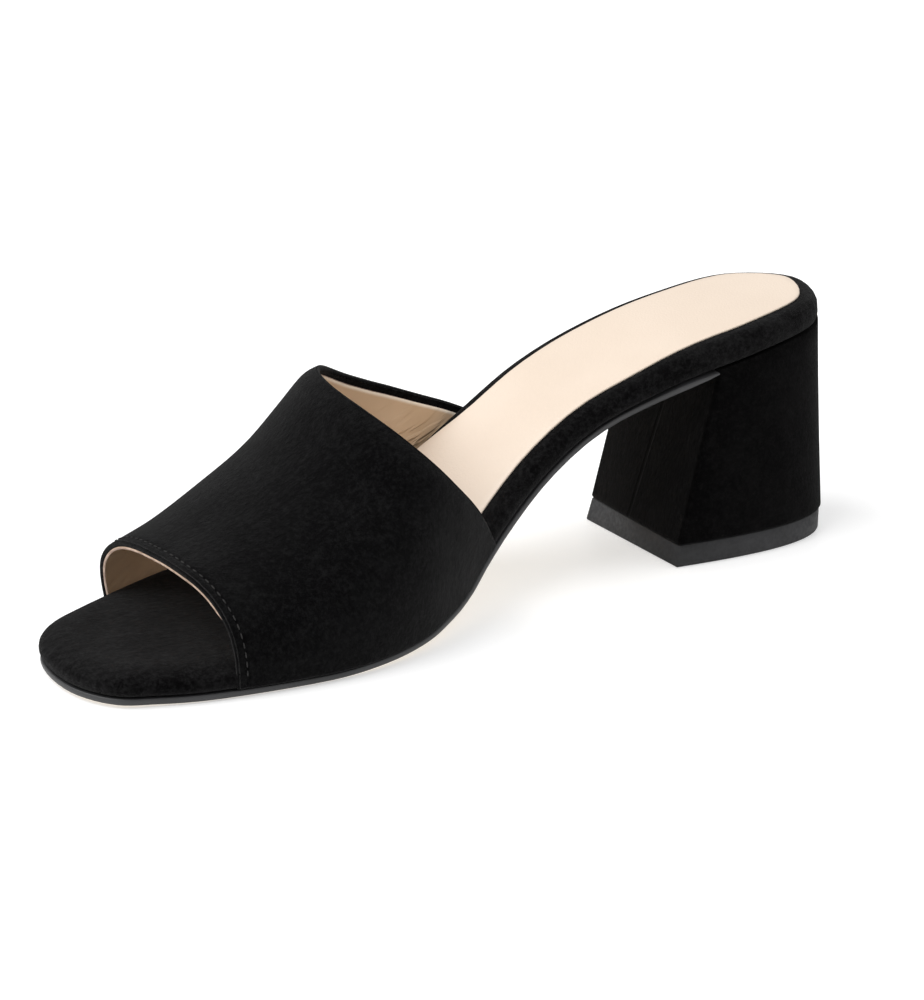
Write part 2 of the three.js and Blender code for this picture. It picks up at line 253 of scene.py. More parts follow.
rise_at = through(PROFILE, "along", "rise", level_slope)
crown_at = through(LAST, "along", "crown")
ridge_at = through(LAST, "along", "ridge")
swell_at = through(LAST, "along", "swell")
arch_at = through(LAST, "along", "arch")
strap_back = through(STRAP, "around", "back")
strap_front = through(STRAP, "around", "front")

inner_side = [Vector((row["along"] * LAST_LENGTH, row["inner"] * BALL_WIDTH)) for row in OUTLINE]
outer_side = [Vector((row["along"] * LAST_LENGTH, -row["outer"] * BALL_WIDTH)) for row in OUTLINE]
PLAN = [Vector((0, 0)), *inner_side, Vector((SOLE_LENGTH, TOE_SHIFT * BALL_WIDTH)), *outer_side[::-1]]


def outline(share):
    """Point of the sole outline, heel back first, then the inner side, toe and outer side."""
    place = (share % 1) * len(PLAN)
    i = int(place)
    t = place - i
    p0, p1, p2, p3 = (PLAN[(i + k) % len(PLAN)] for k in (-1, 0, 1, 2))
    d0, d1, d2 = ((b - a).length ** 0.5 for a, b in ((p0, p1), (p1, p2), (p2, p3)))
    start = ((p1 - p0) / d0 - (p2 - p0) / (d0 + d1) + (p2 - p1) / d1) * d1
    end = ((p2 - p1) / d1 - (p3 - p1) / (d1 + d2) + (p3 - p2) / d2) * d1
    curve = (p1 * 2 - p2 * 2 + start + end) * t ** 3
    return curve + (p2 * 3 - p1 * 3 - start * 2 - end) * t ** 2 + start * t + p1


def rail(share, outset):
    """Outline point moved outwards by some millimetres."""
    step = 0.0002
    along = outline(share + step) - outline(share - step)
    along.normalize()
    point = outline(share)
    return Vector((point.x - along.y * outset, point.y + along.x * outset))


HALVINGS = 30


def share_at(side, x):
    """Share of the outline where a side of the sole is at x, found by halving the range."""
    low, high = 0.0, 0.5
    for _ in range(HALVINGS):
        half = (low + high) / 2
        if outline(half if side > 0 else 1 - half).x < x:
            low = half
        else:
            high = half
    return low if side > 0 else 1 - low


widths = {}


def half_width(side, x):
    """Half width of the sole at x, between widths kept for whole millimetres."""
    step = int(x)
    for mark in (step, step + 1):
        if (side, mark) not in widths:
            widths[side, mark] = abs(outline(share_at(side, mark)).y)
    return widths[side, step] + (widths[side, step + 1] - widths[side, step]) * (x - step)


def feather(x):
    """Height of the insole's underside, the surface that every layer follows."""
    along = clamp(x / LAST_LENGTH)
    tip = max(0, (along - SPRING_START) / (1 - SPRING_START))
    return FOREFOOT_LEVEL + rise_at(along) * (SEAT_RISE - FOREFOOT_LEVEL) + TOE_SPRING * tip * tip


def on_layer(point):
    """Moves a flat point (x, y, height over the feather) onto the curved sole."""
    step = 0.5
    angle = math.atan2(feather(point.x + step) - feather(point.x - step), 2 * step)
    x = point.x - point.z * math.sin(angle)
    return Vector((x, point.y, feather(point.x) + point.z * math.cos(angle)))


def forward_of_heel(x):
    """Runs from 0 over the heel to 1 ahead of it."""
    return ease(x, BREAST_TOP_X, BREAST_TOP_X + SEAT_BLEND)


def insole_height(x):
    return INSOLE_THICKNESS + SEAT_PADDING * (1 - forward_of_heel(x))


def overhang_at(x):
    return HEEL_OVERHANG + (INSOLE_OVERHANG - HEEL_OVERHANG) * forward_of_heel(x)


def last_place(x, around):
    """Point of the last's skin at x, by the angle round the foot from the inner sole edge."""
    along = x / LAST_LENGTH
    side = 1 if around < 90 else -1
    angle = math.radians(around)
    ridge = ridge_at(along) * BALL_WIDTH
    swell = swell_at(along) * BALL_WIDTH * abs(math.sin(2 * angle))
    reach = side * (half_width(side, x) + STRAP_OVERHANG + swell) - ridge
    power = 2 / arch_at(along)
    height = max(0, math.sin(angle)) ** power
    base = feather(x)
    y = ridge + reach * abs(math.cos(angle)) ** power
    return Vector((x, y, base + (crown_at(along) * INSTEP_HEIGHT - base) * height))


def strap_reach(v):
    """Distance along the shoe from the strap's back edge to its front edge."""
    return (strap_front(180 * v) - strap_back(180 * v)) * LAST_LENGTH


def strap_place(u, v, depth):
    """Point at a depth in the strap: u from back edge to front edge, v from inner side to outer."""
    around = 180 * v
    back = strap_back(around) * LAST_LENGTH
    front = strap_front(around) * LAST_LENGTH
    point = last_place(back + (front - back) * u, around)
    if depth == 0:
        return point
    step = 0.004
    behind = last_place(back + (front - back) * (u - step), around)
    ahead = last_place(back + (front - back) * (u + step), around)
    inner = last_place(back + (front - back) * u, max(0, around - 180 * step))
    outer = last_place(back + (front - back) * u, min(180, around + 180 * step))
    outward = (outer - inner).cross(ahead - behind).normalized()
    return point - outward * depth


class Wire:
    """A socket of a material with arithmetic on it."""

    def __init__(self, paint, socket):
        self.paint = paint
        self.socket = socket

    def maths(self, operation, *values):
        return self.paint.node("ShaderNodeMath", {"operation": operation}, dict(enumerate(values)))

    def __add__(self, other):
        return self.maths("ADD", self, other)

    __radd__ = __add__

    def __sub__(self, other):
        return self.maths("SUBTRACT", self, other)

    def __rsub__(self, other):
        return self.maths("SUBTRACT", other, self)

    def __mul__(self, other):
        return self.maths("MULTIPLY", self, other)

    __rmul__ = __mul__

    def __truediv__(self, other):
        return self.maths("DIVIDE", self, other)

    def __rtruediv__(self, other):
        return self.maths("DIVIDE", other, self)

    def sine(self):
        return self.maths("SINE", self)

    def size(self):
        return self.maths("ABSOLUTE", self)

    def between(self, low, high, start=0.0, end=1.0):
        """Runs smoothly from start to end while the value goes from low to high."""
        sockets = {"Value": self, "From Min": low, "From Max": high, "To Min": start, "To Max": end}
        smooth = {"interpolation_type": "SMOOTHSTEP"}
        return self.paint.node("ShaderNodeMapRange", smooth, sockets, "Result")

    def spread(self, start=0.0, end=1.0):
        """Runs from start to end over the middle values of a noise, where most of it lies."""
        return self.between(0.3, 0.7, start, end)


# Sockets of a Mix node that mixes colours.
MIX_SHARE, MIX_FIRST, MIX_SECOND, MIX_RESULT = 0, 6, 7, 2


class Paint:
    """A procedural material."""

    def __init__(self, name, **constants):
        self.material = bpy.data.materials.new(name)
        self.material.use_nodes = True
        self.tree = self.material.node_tree
        self.shader = self.tree.nodes["Principled BSDF"]
        for socket, value in constants.items():
            self.shader.inputs[socket.replace("_", " ")].default_value = value
        self.place = self.node("ShaderNodeTexCoord", {}, {}, "Object")

    def node(self, kind, settings, sockets, output=0):
        made = self.tree.nodes.new(kind)
        for key, value in settings.items():
            setattr(made, key, value)
        for key, value in sockets.items():
            if isinstance(value, Wire):
                self.tree.links.new(value.socket, made.inputs[key])
            else:
                made.inputs[key].default_value = value
        return Wire(self, made.outputs[output])

    def noise(self, scale, detail=2.0, roughness=0.5, at=None):
        sockets = {"Vector": at or self.place, "Scale": scale, "Detail": detail, "Roughness": roughness}
        return self.node("ShaderNodeTexNoise", {}, sockets, "Fac")

    def stretched(self, scale, turn):
        """Object coordinates, turned and scaled by different amounts along their axes."""
        sockets = {"Vector": self.place, "Scale": scale, "Rotation": turn}
        return self.node("ShaderNodeMapping", {}, sockets)

    def attribute(self, name):
        """A value that the mesh itself carries at each vertex."""
        return self.node("ShaderNodeAttribute", {"attribute_name": name}, {}, "Fac")

    def coordinates(self):
        """The object's x, y and z in metres."""
        x = self.node("ShaderNodeSeparateXYZ", {}, {"Vector": self.place}, "X")
        outputs = x.socket.node.outputs
        return x, Wire(self, outputs["Y"]), Wire(self, outputs["Z"])

    def mix(self, share, first, second):
        """Colour between two colours."""
        ends = [value if isinstance(value, Wire) else (*value, 1) for value in (first, second)]
        sockets = {MIX_SHARE: share, MIX_FIRST: ends[0], MIX_SECOND: ends[1]}
        return self.node("ShaderNodeMix", {"data_type": "RGBA"}, sockets, MIX_RESULT)

    def feed(self, socket, wire):
        """Links a wire to a socket of the shader."""
        self.tree.links.new(wire.socket, self.shader.inputs[socket])

    def relief(self, height, depth, under=None):
        """Bump of some millimetres for a height from 0 to 1."""
        sockets = {"Height": height, "Distance": depth / 1000, "Strength": 1.0}
        if under:
            sockets["Normal"] = under
        return self.node("ShaderNodeBump", {}, sockets, "Normal")


def paint_suede(name, dark, light, speckle, sheen, seam=False):
    """Black suede: short fibres that catch the light as fine specks, faint brushed patches, no gloss."""
    paint = Paint(name, Sheen_Weight=sheen, Sheen_Roughness=0.45, Specular_IOR_Level=0.02)
    patches = paint.noise(60, 3, 0.6)
    brushed = paint.noise(1, 3, 0.6, paint.stretched((260, 700, 500), (0, 0, 0.5)))
    nap = paint.noise(800, 5, 0.85)
    share = patches.spread(-0.08, 0.18) + brushed.between(0.35, 0.7, 0, 0.16)
    share = share + nap.between(0.40, 0.68, -speckle * 0.3, speckle)
    colour = paint.mix(share, dark, light)
    relief = paint.relief(patches, 0.25, paint.relief(nap, 0.3, paint.relief(brushed, 0.15)))
    if seam:
        # The seam runs up the breast, and x keeps it off the heel's back.
        x, y, _ = paint.coordinates()
        off = (y - SEAM_Y).size()
        join = off.between(SEAM_HALF_WIDTH * 0.4, SEAM_HALF_WIDTH, 1, 0) * x.between(0, 0.002)
        colour = paint.mix(join, colour, (0.0004, 0.0004, 0.0004))
        relief = paint.relief(join, -0.12, relief)
    paint.feed("Base Color", colour)
    paint.feed("Roughness", patches.spread(0.98, 0.92))
    paint.feed("Normal", relief)
    return paint.material


def paint_sock():
    """Smooth pale leather with fine pores and a light gloss."""
    paint = Paint("pale sock leather", Specular_IOR_Level=0.45, Coat_Roughness=0.3)
    clouds = paint.noise(28, 3, 0.5)
    grain = paint.node("ShaderNodeTexVoronoi", {"feature": "DISTANCE_TO_EDGE"},
                       {"Vector": paint.place, "Scale": 900}, "Distance")
    paint.feed("Base Color", paint.mix(clouds.spread(), (0.73, 0.61, 0.50), (0.76, 0.64, 0.53)))
    paint.feed("Roughness", clouds.spread(0.36, 0.46))
    paint.feed("Coat Weight", clouds.spread(0.10, 0.18))
    pores = paint.relief(grain.between(0.0, 0.25), 0.02)
    paint.feed("Normal", paint.relief(clouds, 0.35, pores))
    return paint.material


def paint_lining():
    """Beige lining leather, with fine wrinkles low at the back where the strap meets the insole."""
    paint = Paint("beige strap lining", Specular_IOR_Level=0.3)
    x, y, z = paint.coordinates()
    clouds = paint.noise(45, 3, 0.5)
    slanted = z + x * 0.45
    folds = paint.node("ShaderNodeCombineXYZ", {}, {"X": x * 90, "Y": y * 300, "Z": slanted * 620})
    wrinkles = paint.noise(1, 2, 0.5, folds)
    rolled = paint.attribute("rolled_edge")
    # The wrinkles are deepest low down and near the back edge.
    low = z.between(0.026, 0.036, 1, 0.12) * x.between(0.07, 0.10, 1, 0.1)
    grain = paint.noise(1500, 2, 0.6)
    leather = paint.mix(clouds.spread(), (0.62, 0.43, 0.265), (0.70, 0.50, 0.33))
    paint.feed("Base Color", paint.mix(rolled.between(0, 1), leather, (0.97, 0.86, 0.72)))
    paint.feed("Roughness", clouds.spread(0.55, 0.68))
    fine = paint.relief(grain, 0.03)
    wrinkled = wrinkles.between(0.42, 0.62) * low
    paint.feed("Normal", paint.relief(wrinkled, 0.8, fine))
    return paint.material


def paint_cut_edge():
    """Raw pale edge of the lining."""
    paint = Paint("pale cut edge", Specular_IOR_Level=0.2)
    clouds = paint.noise(400, 2, 0.5)
    edge = paint.mix(clouds.between(0.35, 0.65), (0.42, 0.30, 0.235), (0.62, 0.47, 0.38))
    paint.feed("Base Color", edge)
    paint.feed("Roughness", clouds.spread(0.7, 0.85))
    return paint.material


def paint_outsole():
    """Tan sole with grey painted edge and an oval of fine ribs under the forefoot."""
    paint = Paint("tan sole with painted edge", Specular_IOR_Level=0.5)
    x, y, _ = paint.coordinates()
    edge = paint.attribute("painted_edge").between(0.4, 0.6)
    clouds = paint.noise(40, 3, 0.5)
    tan = paint.mix(clouds.spread(), (0.76, 0.64, 0.47), (0.80, 0.69, 0.53))
    grey = paint.mix(clouds.between(0.35, 0.65), (0.024, 0.024, 0.025), (0.038, 0.038, 0.040))
    paint.feed("Base Color", paint.mix(edge, tan, grey))
    paint.feed("Roughness", edge.between(0, 1, 0.32, 0.5))
    paint.feed("Coat Weight", edge.between(0, 1, 0.25, 0.0))
    span_x = (x - RIBS_X) / RIBS_HALF_LENGTH
    span_y = (y - RIBS_Y) / RIBS_HALF_WIDTH
    inside = (span_x * span_x + span_y * span_y).between(0.94, 1.0, 1, 0)
    waves = (x * (2 * math.pi / RIB_PITCH)).sine()
    ribs = waves.between(-0.2, 0.7) * inside * (1 - edge)
    grain = paint.noise(700, 2, 0.5)
    fine = paint.relief(grain, 0.03)
    paint.feed("Normal", paint.relief(ribs, 0.35, fine))
    return paint.material


def paint_lift():
    """Matt dark grey rubber, with a fine square grid on the ground face."""
    paint = Paint("dark grey lift rubber", Specular_IOR_Level=0.35)
    x, y, z = paint.coordinates()
    speckle = paint.noise(900, 2, 0.6)
    clouds = paint.noise(60, 3, 0.5)
    rubber = paint.mix(clouds.spread(), (0.015, 0.015, 0.016), (0.027, 0.027, 0.029))
    paint.feed("Base Color", rubber)
    paint.feed("Roughness", speckle.spread(0.55, 0.72))
    pitch = 2 * math.pi / GRID_PITCH
    grid = (x * pitch).sine().between(0.75, 0.95) + (y * pitch).sine().between(0.75, 0.95)
    ground = z.between(0.0003, 0.0006, 1, 0)
    fine = paint.relief(speckle, 0.03)
    paint.feed("Normal", paint.relief(grid * ground, 0.25, fine))
    return paint.material


def paint_thread():
    """Charcoal thread with the light and dark of its twist."""
    paint = Paint("charcoal sewing thread", Specular_IOR_Level=0.3)
    twist = paint.noise(900, 3, 0.7)
    thread = paint.mix(twist.spread(), (0.004, 0.004, 0.004), (0.028, 0.027, 0.026))
    paint.feed("Base Color", thread)
    paint.feed("Roughness", twist.spread(0.6, 0.8))
    return paint.material


def paint_floor():
    """White floor, lifted by a faint glow so that it comes out white as in the photo."""
    paint = Paint("white studio floor", Specular_IOR_Level=0.3,
                  Emission_Color=(1, 1, 1, 1), Emission_Strength=0.44)
    clouds = paint.noise(3, 2, 0.5)
    paint.feed("Base Color", paint.mix(clouds.spread(), (0.70, 0.70, 0.70), (0.72, 0.72, 0.72)))
    paint.feed("Roughness", clouds.spread(0.34, 0.42))
    return paint.material


def finish_piece(bm, name, materials, nodes=()):
    """Turns a bmesh in last millimetres into a finished piece in the frame's metres."""
    bmesh.ops.transform(bm, matrix=TO_FRAME, verts=bm.verts)
    bmesh.ops.remove_doubles(bm, verts=bm.verts, dist=SAME_PLACE / 1000)
    bmesh.ops.recalc_face_normals(bm, faces=bm.faces)
    mesh = bpy.data.meshes.new(name)
    for face in bm.faces:
        face.smooth = True
    bm.to_mesh(mesh)
    bm.free()
    piece = bpy.data.objects.new(name, mesh)
    bpy.context.scene.collection.objects.link(piece)
    for material in materials:
        mesh.materials.append(material)
    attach(piece, "root")
    if nodes:
        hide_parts(*nodes)
    return piece


def new_ring(bm, places):
    """A closed ring of vertices, one at each place."""
    ring = bmesh.ops.create_circle(bm, segments=len(places), radius=1)["verts"]
    for vertex, place in zip(ring, places):
        vertex.co = place
    return ring


def raise_ring(bm, ring, places):
    """Extrudes a ring to new places and returns the new ring."""
    members = set(ring)
    edges = [edge for edge in bm.edges if members.issuperset(edge.verts)]
    made = bmesh.ops.extrude_edge_only(bm, edges=edges)["geom"]
    fresh = {item for item in made if isinstance(item, bmesh.types.BMVert)}
    partners = []
    for vertex, place in zip(ring, places):
        neighbours = (edge.other_vert(vertex) for edge in vertex.link_edges)
        partner = next(other for other in neighbours if other in fresh)
        partner.co = place
        partners.append(partner)
    return partners


def stack(levels, painted_from=0):
    """A closed body from rings, bottom first; the attribute painted_edge is 1 from one ring on."""
    bm = bmesh.new()
    painted = bm.verts.layers.float.new("painted_edge")
    ring = new_ring(bm, levels[0])
    first = ring
    for i, places in enumerate(levels[1:], 1):
        ring = raise_ring(bm, ring, places)
        for vertex in ring:
            vertex[painted] = float(i >= painted_from)
    for cap in (set(first), set(ring)):
        rim = [edge for edge in bm.edges if cap.issuperset(edge.verts)]
        bmesh.ops.contextual_create(bm, geom=rim)
    return bm


def slice_body(bm, places):
    """Cuts a body across its length at many places, so that it can bend."""
    direction = (1, 0, 0)
    for place in places:
        point = (place, 0, 0)
        geometry = [*bm.verts, *bm.edges, *bm.faces]
        bmesh.ops.bisect_plane(bm, geom=geometry, dist=SAME_PLACE, plane_co=point, plane_no=direction)


def cut_off(bm, place, onwards):
    """Cuts off what lies past a place in a direction and closes the cut."""
    geometry = [*bm.verts, *bm.edges, *bm.faces]
    cut = bmesh.ops.bisect_plane(bm, geom=geometry, dist=SAME_PLACE, plane_co=place,
                                 plane_no=onwards, clear_outer=True)["geom_cut"]
    rim = [item for item in cut if isinstance(item, bmesh.types.BMEdge)]
    bmesh.ops.contextual_create(bm, geom=rim)


def wrap(bm):
    """Bends a flat slab onto the sole."""
    for vertex in bm.verts:
        vertex.co = on_layer(vertex.co)


OUTLINE_POINTS = 150


def flat_level(outset_at, height_at):
    """One ring of a slab round the sole, still flat; the outset goes by x and side."""
    places = []
    for i in range(OUTLINE_POINTS):
        share = i / OUTLINE_POINTS
        x = outline(share).x
        side = 1 if share < 0.5 else -1
        plan = rail(share, outset_at(x, side))
        places.append(Vector((plan.x, plan.y, height_at(plan.x))))
    return places


def spaced(start, end, step):
    """Places from start to end, evenly apart by about a step."""
    count = round((end - start) / step)
    return [start + (end - start) * i / count for i in range(count + 1)]


# Section of the insole's side under its rounded border, bottom first: share of the tuck,
# millimetres further in, and share of the height.
INSOLE_SIDE = [(1, 6, 0), (1, 0, 0), (0.45, 0, 0.07), (0.12, 0, 0.2), (0, 0, 0.38)]


def make_insole(suede):
    """Padded insole wrapped in suede, with a rounded border, wider and softer at the toe."""
    def border_reach(x):
        return INSOLE_ROUND + TOE_PAD_REACH * ease(x, TOE_PAD_START, TOE_PAD_START + TOE_PAD_BLEND)

    levels = []
    for tuck, further_in, height in INSOLE_SIDE:
        levels.append(flat_level(
            lambda x, side: overhang_at(x) - INSOLE_TUCK * tuck - further_in,
            lambda x: insole_height(x) * height,
        ))
    for degrees in range(10, 91, 10):
        angle = math.radians(degrees)
        levels.append(flat_level(
            lambda x, side: overhang_at(x) - border_reach(x) * (1 - math.cos(angle)),
            lambda x: insole_height(x) - INSOLE_ROUND * (1 - math.sin(angle)),
        ))
    bm = stack(levels)
    slice_body(bm, spaced(SLICE_START, SLICE_END, SLICE_STEP))
    wrap(bm)
    return finish_piece(bm, "insole_cover", [suede], ["insole"])


# Section of the sock's edge, bottom first: millimetres outwards, and share of its way up from
# where it is sunk to where it stands proud.
SOCK_EDGE = [(-2, 0), (0, 0), (0, 0.5), (-0.12, 0.8), (-0.4, 1), (-2.2, 1.06)]


def make_sock(leather):
    """Sock of thin leather glued on the insole, with a skived edge; it widens under the strap."""
    def edge_at(x, side):
        widened = ease(x, SOCK_WIDENING_START, SOCK_WIDENING_START + SOCK_WIDENING_BLEND)
        widening = SOCK_WIDENING * widened if side < 0 else 0
        return overhang_at(x) - SOCK_MARGIN + widening

    levels = []
    for outset, height in SOCK_EDGE:
        levels.append(flat_level(
            lambda x, side: edge_at(x, side) + outset,
            lambda x: insole_height(x) + SOCK_SINK + height * (SOCK_PROUD - SOCK_SINK),
        ))
    bm = stack(levels)
    slice_body(bm, spaced(SLICE_START, SOCK_LENGTH - SLICE_STEP, SLICE_STEP))
    cut_off(bm, (SOCK_LENGTH, 0, 0), (1, 0, 0))
    wrap(bm)
    return finish_piece(bm, "sock", [leather], ["sock_lining"])


# Section of the sole's edge, bottom first: shares of its thickness and of its spread. Its paint
# starts at one of these rings.
OUTSOLE_EDGE = [
    (1, -4), (1, -1.2), (0.96, -0.3), (0.87, 0.4), (0.72, 0.85),
    (0.5, 1), (0.15, 1), (0.03, 0.9), (0, 0.7), (0, -5),
]
PAINT_START = 3


def make_outsole(leather):
    """Thin sole with its edge painted, skived where it meets the heel breast."""
    breast_slope = math.tan(BREAST_TOP_ANGLE)
    skive_start = BREAST_TOP_X - half_width(1, BREAST_TOP_X) * breast_slope + BREAST_GAP

    def thickness_at(x):
        short = 1 - clamp((x - skive_start) / SKIVE_LENGTH)
        return SKIVE_EDGE + (OUTSOLE_THICKNESS - SKIVE_EDGE) * math.sqrt(1 - short * short)

    levels = []
    for down, out in OUTSOLE_EDGE:
        levels.append(flat_level(
            lambda x, side: OUTSOLE_SPREAD * out,
            lambda x: -SEAM_GAP - down * thickness_at(x),
        ))
    bm = stack(levels, painted_from=PAINT_START)
    skive_end = skive_start + SKIVE_LENGTH
    slice_body(bm, spaced(skive_start, skive_end, SKIVE_STEP))
    slice_body(bm, spaced(skive_end + SLICE_STEP, SLICE_END, SLICE_STEP))
    to_heel = (-math.cos(BREAST_TOP_ANGLE), -math.sin(BREAST_TOP_ANGLE), 0)
    cut_off(bm, (BREAST_TOP_X + BREAST_GAP, 0, 0), to_heel)
    wrap(bm)
    return finish_piece(bm, "sole", [leather], ["outsole"])


HEEL_POINTS = 30


def both_sides(place):
    """Places from the heel's back along its inner side to the breast, then back along its outer side."""
    inner = [place(1, i) for i in range(HEEL_POINTS + 1)]
    outer = [place(-1, i) for i in range(HEEL_POINTS, 0, -1)]
    return inner + outer


def lift_ring(inset, z):
    """Ring of the heel's foot: round back, swelling sides and a flat breast."""
    rise = clamp(z / LIFT_THICKNESS)
    forward = LIFT_FLARE * (1 - rise)
    skew = math.tan(BREAST_SKEW * rise)

    def place(side, i):
        reach = math.sin((1 - i / HEEL_POINTS) * math.pi / 2)
        width = max(0, 1 - reach ** LIFT_ROUNDNESS) ** (1 / LIFT_ROUNDNESS)
        y = side * (LIFT_WIDTH / 2 - inset + LIFT_SWELL * reach) * width
        x = (forward - y * skew) * (1 - reach) - inset - (LIFT_LENGTH - 2 * inset) * reach
        turned = Matrix.Rotation(BREAST_FOOT_ANGLE, 2) @ Vector((x, y))
        return Vector((BREAST_FOOT_X + turned.x, BREAST_FOOT_Y + turned.y, z))

    return both_sides(place)


def seat_ring(height):
    """Ring of the heel's top, just under the insole."""
    def place(side, i):
        edge_x = BREAST_TOP_X - side * half_width(side, BREAST_TOP_X) * math.tan(BREAST_TOP_ANGLE)
        end = share_at(side, edge_x)
        share = end * i / HEEL_POINTS if side > 0 else 1 - (1 - end) * i / HEEL_POINTS
        plan = rail(share, HEEL_OVERHANG)
        return on_layer(Vector((plan.x, plan.y, height)))

    return both_sides(place)


def corner_edges(bm):
    """Edges where two faces meet at a corner."""
    return [edge for edge in bm.edges
            if len(edge.link_faces) == 2 and edge.calc_face_angle() > CORNER_ANGLE]


def round_off(bm, edges, reach, segments):
    """Rounds edges off from some millimetres on each side of them."""
    bmesh.ops.bevel(bm, geom=edges, offset=reach, segments=segments, profile=0.5,
                    affect="EDGES", material=-1)


# The heel's foot turned in over the lift: millimetres inwards, and height over the lift.
HEEL_FOOT = [(0.8, 0), (0.35, 0.12)]

# Rings of the heel above that, as shares of the way from its foot to the seat.
HEEL_RINGS = [0.012, 0.03, *(tenth / 10 for tenth in range(1, 11))]


def make_heel(suede):
    """Block heel in a suede cover, lofted from its foot to the seat, with soft corners."""
    levels = [lift_ring(inwards, LIFT_THICKNESS + height) for inwards, height in HEEL_FOOT]
    foot = lift_ring(0, LIFT_THICKNESS)
    seat = seat_ring(-HEEL_SEAT_GAP)
    for share in HEEL_RINGS:
        levels.append([low.lerp(high, share) for low, high in zip(foot, seat)])
    bm = stack(levels)
    corners = []
    for edge in corner_edges(bm):
        run = edge.verts[0].co - edge.verts[1].co
        if abs(run.z) > UPRIGHT * run.length:
            corners.append(edge)
    round_off(bm, corners, HEEL_CORNER_ROUND, 3)
    return finish_piece(bm, "heel_cover", [suede], ["heel"])


# Section of the lift's side, bottom first: millimetres further in than its inset, and height.
LIFT_SIDE = [(0.5, 0), (0.15, 0.15), (0, 0.5), (0, LIFT_THICKNESS - 0.3), (0.2, LIFT_THICKNESS)]


def make_lift(rubber):
    """Rubber lift with its edges eased."""
    levels = [lift_ring(LIFT_INSET + further_in, height) for further_in, height in LIFT_SIDE]
    return finish_piece(stack(levels), "heel_lift", [rubber], ["top_lift"])


STRAP_ALONG = 64
STRAP_AROUND = 120

# Rows of the strap's grid by its front and back edges: millimetres in from the edge.
FRONT_STEPS = (0, 0.4, 0.9, 1.4, 1.8, 2.1, 2.4, 2.7, 3.0, 3.5, 4.2, 5.2, 6.6)
BACK_STEPS = (0, 0.3, 0.7, 1.2, 1.8, 2.5, 3.3, 4.2, 5.4, 6.8)


def rear_roll(away):
    """How far the strap's surface rolls in towards its back edge, past a soft ridge."""
    share = away / ROLL_REACH
    return ROLL_DEPTH * (1 - clamp(share)) ** 2 - ROLL_RIDGE * math.exp(-(share - 1) ** 2)


def strap_sheet(bm, back_margin, front_margin, depth, start=0.0, end=1.0, groove=0.0):
    """A grid laid on the strap at a depth, short of its edges, with finer rows near them."""
    rolled = bm.verts.layers.float.new("rolled_edge")
    grid = bmesh.ops.create_grid(bm, x_segments=STRAP_ALONG, y_segments=STRAP_AROUND, size=0.5)["verts"]
    middle_steps = STRAP_ALONG - len(FRONT_STEPS) - len(BACK_STEPS) + 2
    for vertex in grid:
        v = start + (end - start) * clamp(vertex.co.y + 0.5)
        reach = strap_reach(v)
        from_back = round((vertex.co.x + 0.5) * STRAP_ALONG)
        from_front = STRAP_ALONG - from_back
        margin = front_margin(v)
        low = margin + FRONT_STEPS[-1]
        high = reach - back_margin - BACK_STEPS[-1]
        if from_front < len(FRONT_STEPS):
            away = margin + FRONT_STEPS[from_front]
        elif from_back < len(BACK_STEPS):
            away = reach - back_margin - BACK_STEPS[from_back]
        else:
            away = low + (high - low) * (from_front - len(FRONT_STEPS) + 1) / middle_steps
        dent = groove * math.exp(-((away - STITCH_INSET) / STITCH_GROOVE_WIDTH) ** 2)
        inwards = depth + dent + rear_roll(reach - away) * math.sin(math.pi * v)
        vertex.co = strap_place(1 - away / reach, v, inwards)
        # The two rows at the back edge are rolled over, and the next one only half.
        vertex[rolled] = clamp(1.5 - from_back / 2)


def thicken(bm, thickness, edge_round, segments):
    """Gives a sheet its wall, inwards from its face, and a rounded rim in the second material."""
    bmesh.ops.recalc_face_normals(bm, faces=bm.faces)
    bmesh.ops.solidify(bm, geom=bm.faces[:], thickness=-thickness)
    rims = corner_edges(bm)
    for face in {face for edge in rims for face in edge.link_faces}:
        if sum(edge in rims for edge in face.edges) > 1:
            face.material_index = 1
    round_off(bm, rims, edge_round, segments)


def make_strap(suede):
    """Broad strap of suede, rolled in at its back edge and grooved under its stitches."""
    bm = bmesh.new()
    strap_sheet(bm, 0, lambda v: 0, 0, groove=STITCH_GROOVE)
    thicken(bm, STRAP_WALL, STRAP_EDGE_ROUND, 3)
    return finish_piece(bm, "strap", [suede, suede], ["upper"])


def make_lining(leather, cut_edge):
    """Lining inside the strap, up to the front edge and short of the fold at the back edge."""
    def front_margin(v):
        """How far short of the front edge it stops, which is only low on the inner side."""
        return FRONT_FOLD_AT_SOLE * ease(FRONT_FOLD_REACH - v, 0, FRONT_FOLD_BLEND)

    bm = bmesh.new()
    depth = STRAP_WALL - LINING_SINK
    strap_sheet(bm, EDGE_FOLD, front_margin, depth, LINING_START, 1 - LINING_START)
    thicken(bm, LINING_THICKNESS, LINING_EDGE_ROUND, 2)
    return finish_piece(bm, "strap_lining", [leather, cut_edge])


def make_stitches(thread):
    """One row of stitches behind the strap's front edge."""
    def on_row(v, depth=-STITCH_PROUD):
        return strap_place(1 - STITCH_INSET / strap_reach(v), v, depth)

    bm = bmesh.new()
    half_thread = THREAD_WIDTH / 2
    size = Matrix.Diagonal((STITCH_LENGTH / 2, half_thread, half_thread * THREAD_FLATNESS, 1))
    v = STITCH_START
    while v < 1 - STITCH_START:
        here = on_row(v)
        run = on_row(v + STITCH_PROBE) - here
        outward = (here - on_row(v, STRAP_WALL / 2)).normalized()
        forward = run.normalized()
        aside = outward.cross(forward)
        turn = Matrix((forward, aside, outward)).transposed().to_4x4()
        bmesh.ops.create_uvsphere(bm, u_segments=8, v_segments=5, radius=1,
                                  matrix=Matrix.Translation(here) @ turn @ size)
        v += (STITCH_LENGTH + STITCH_GAP) / (run.length / STITCH_PROBE)
    return finish_piece(bm, "front_stitches", [thread])


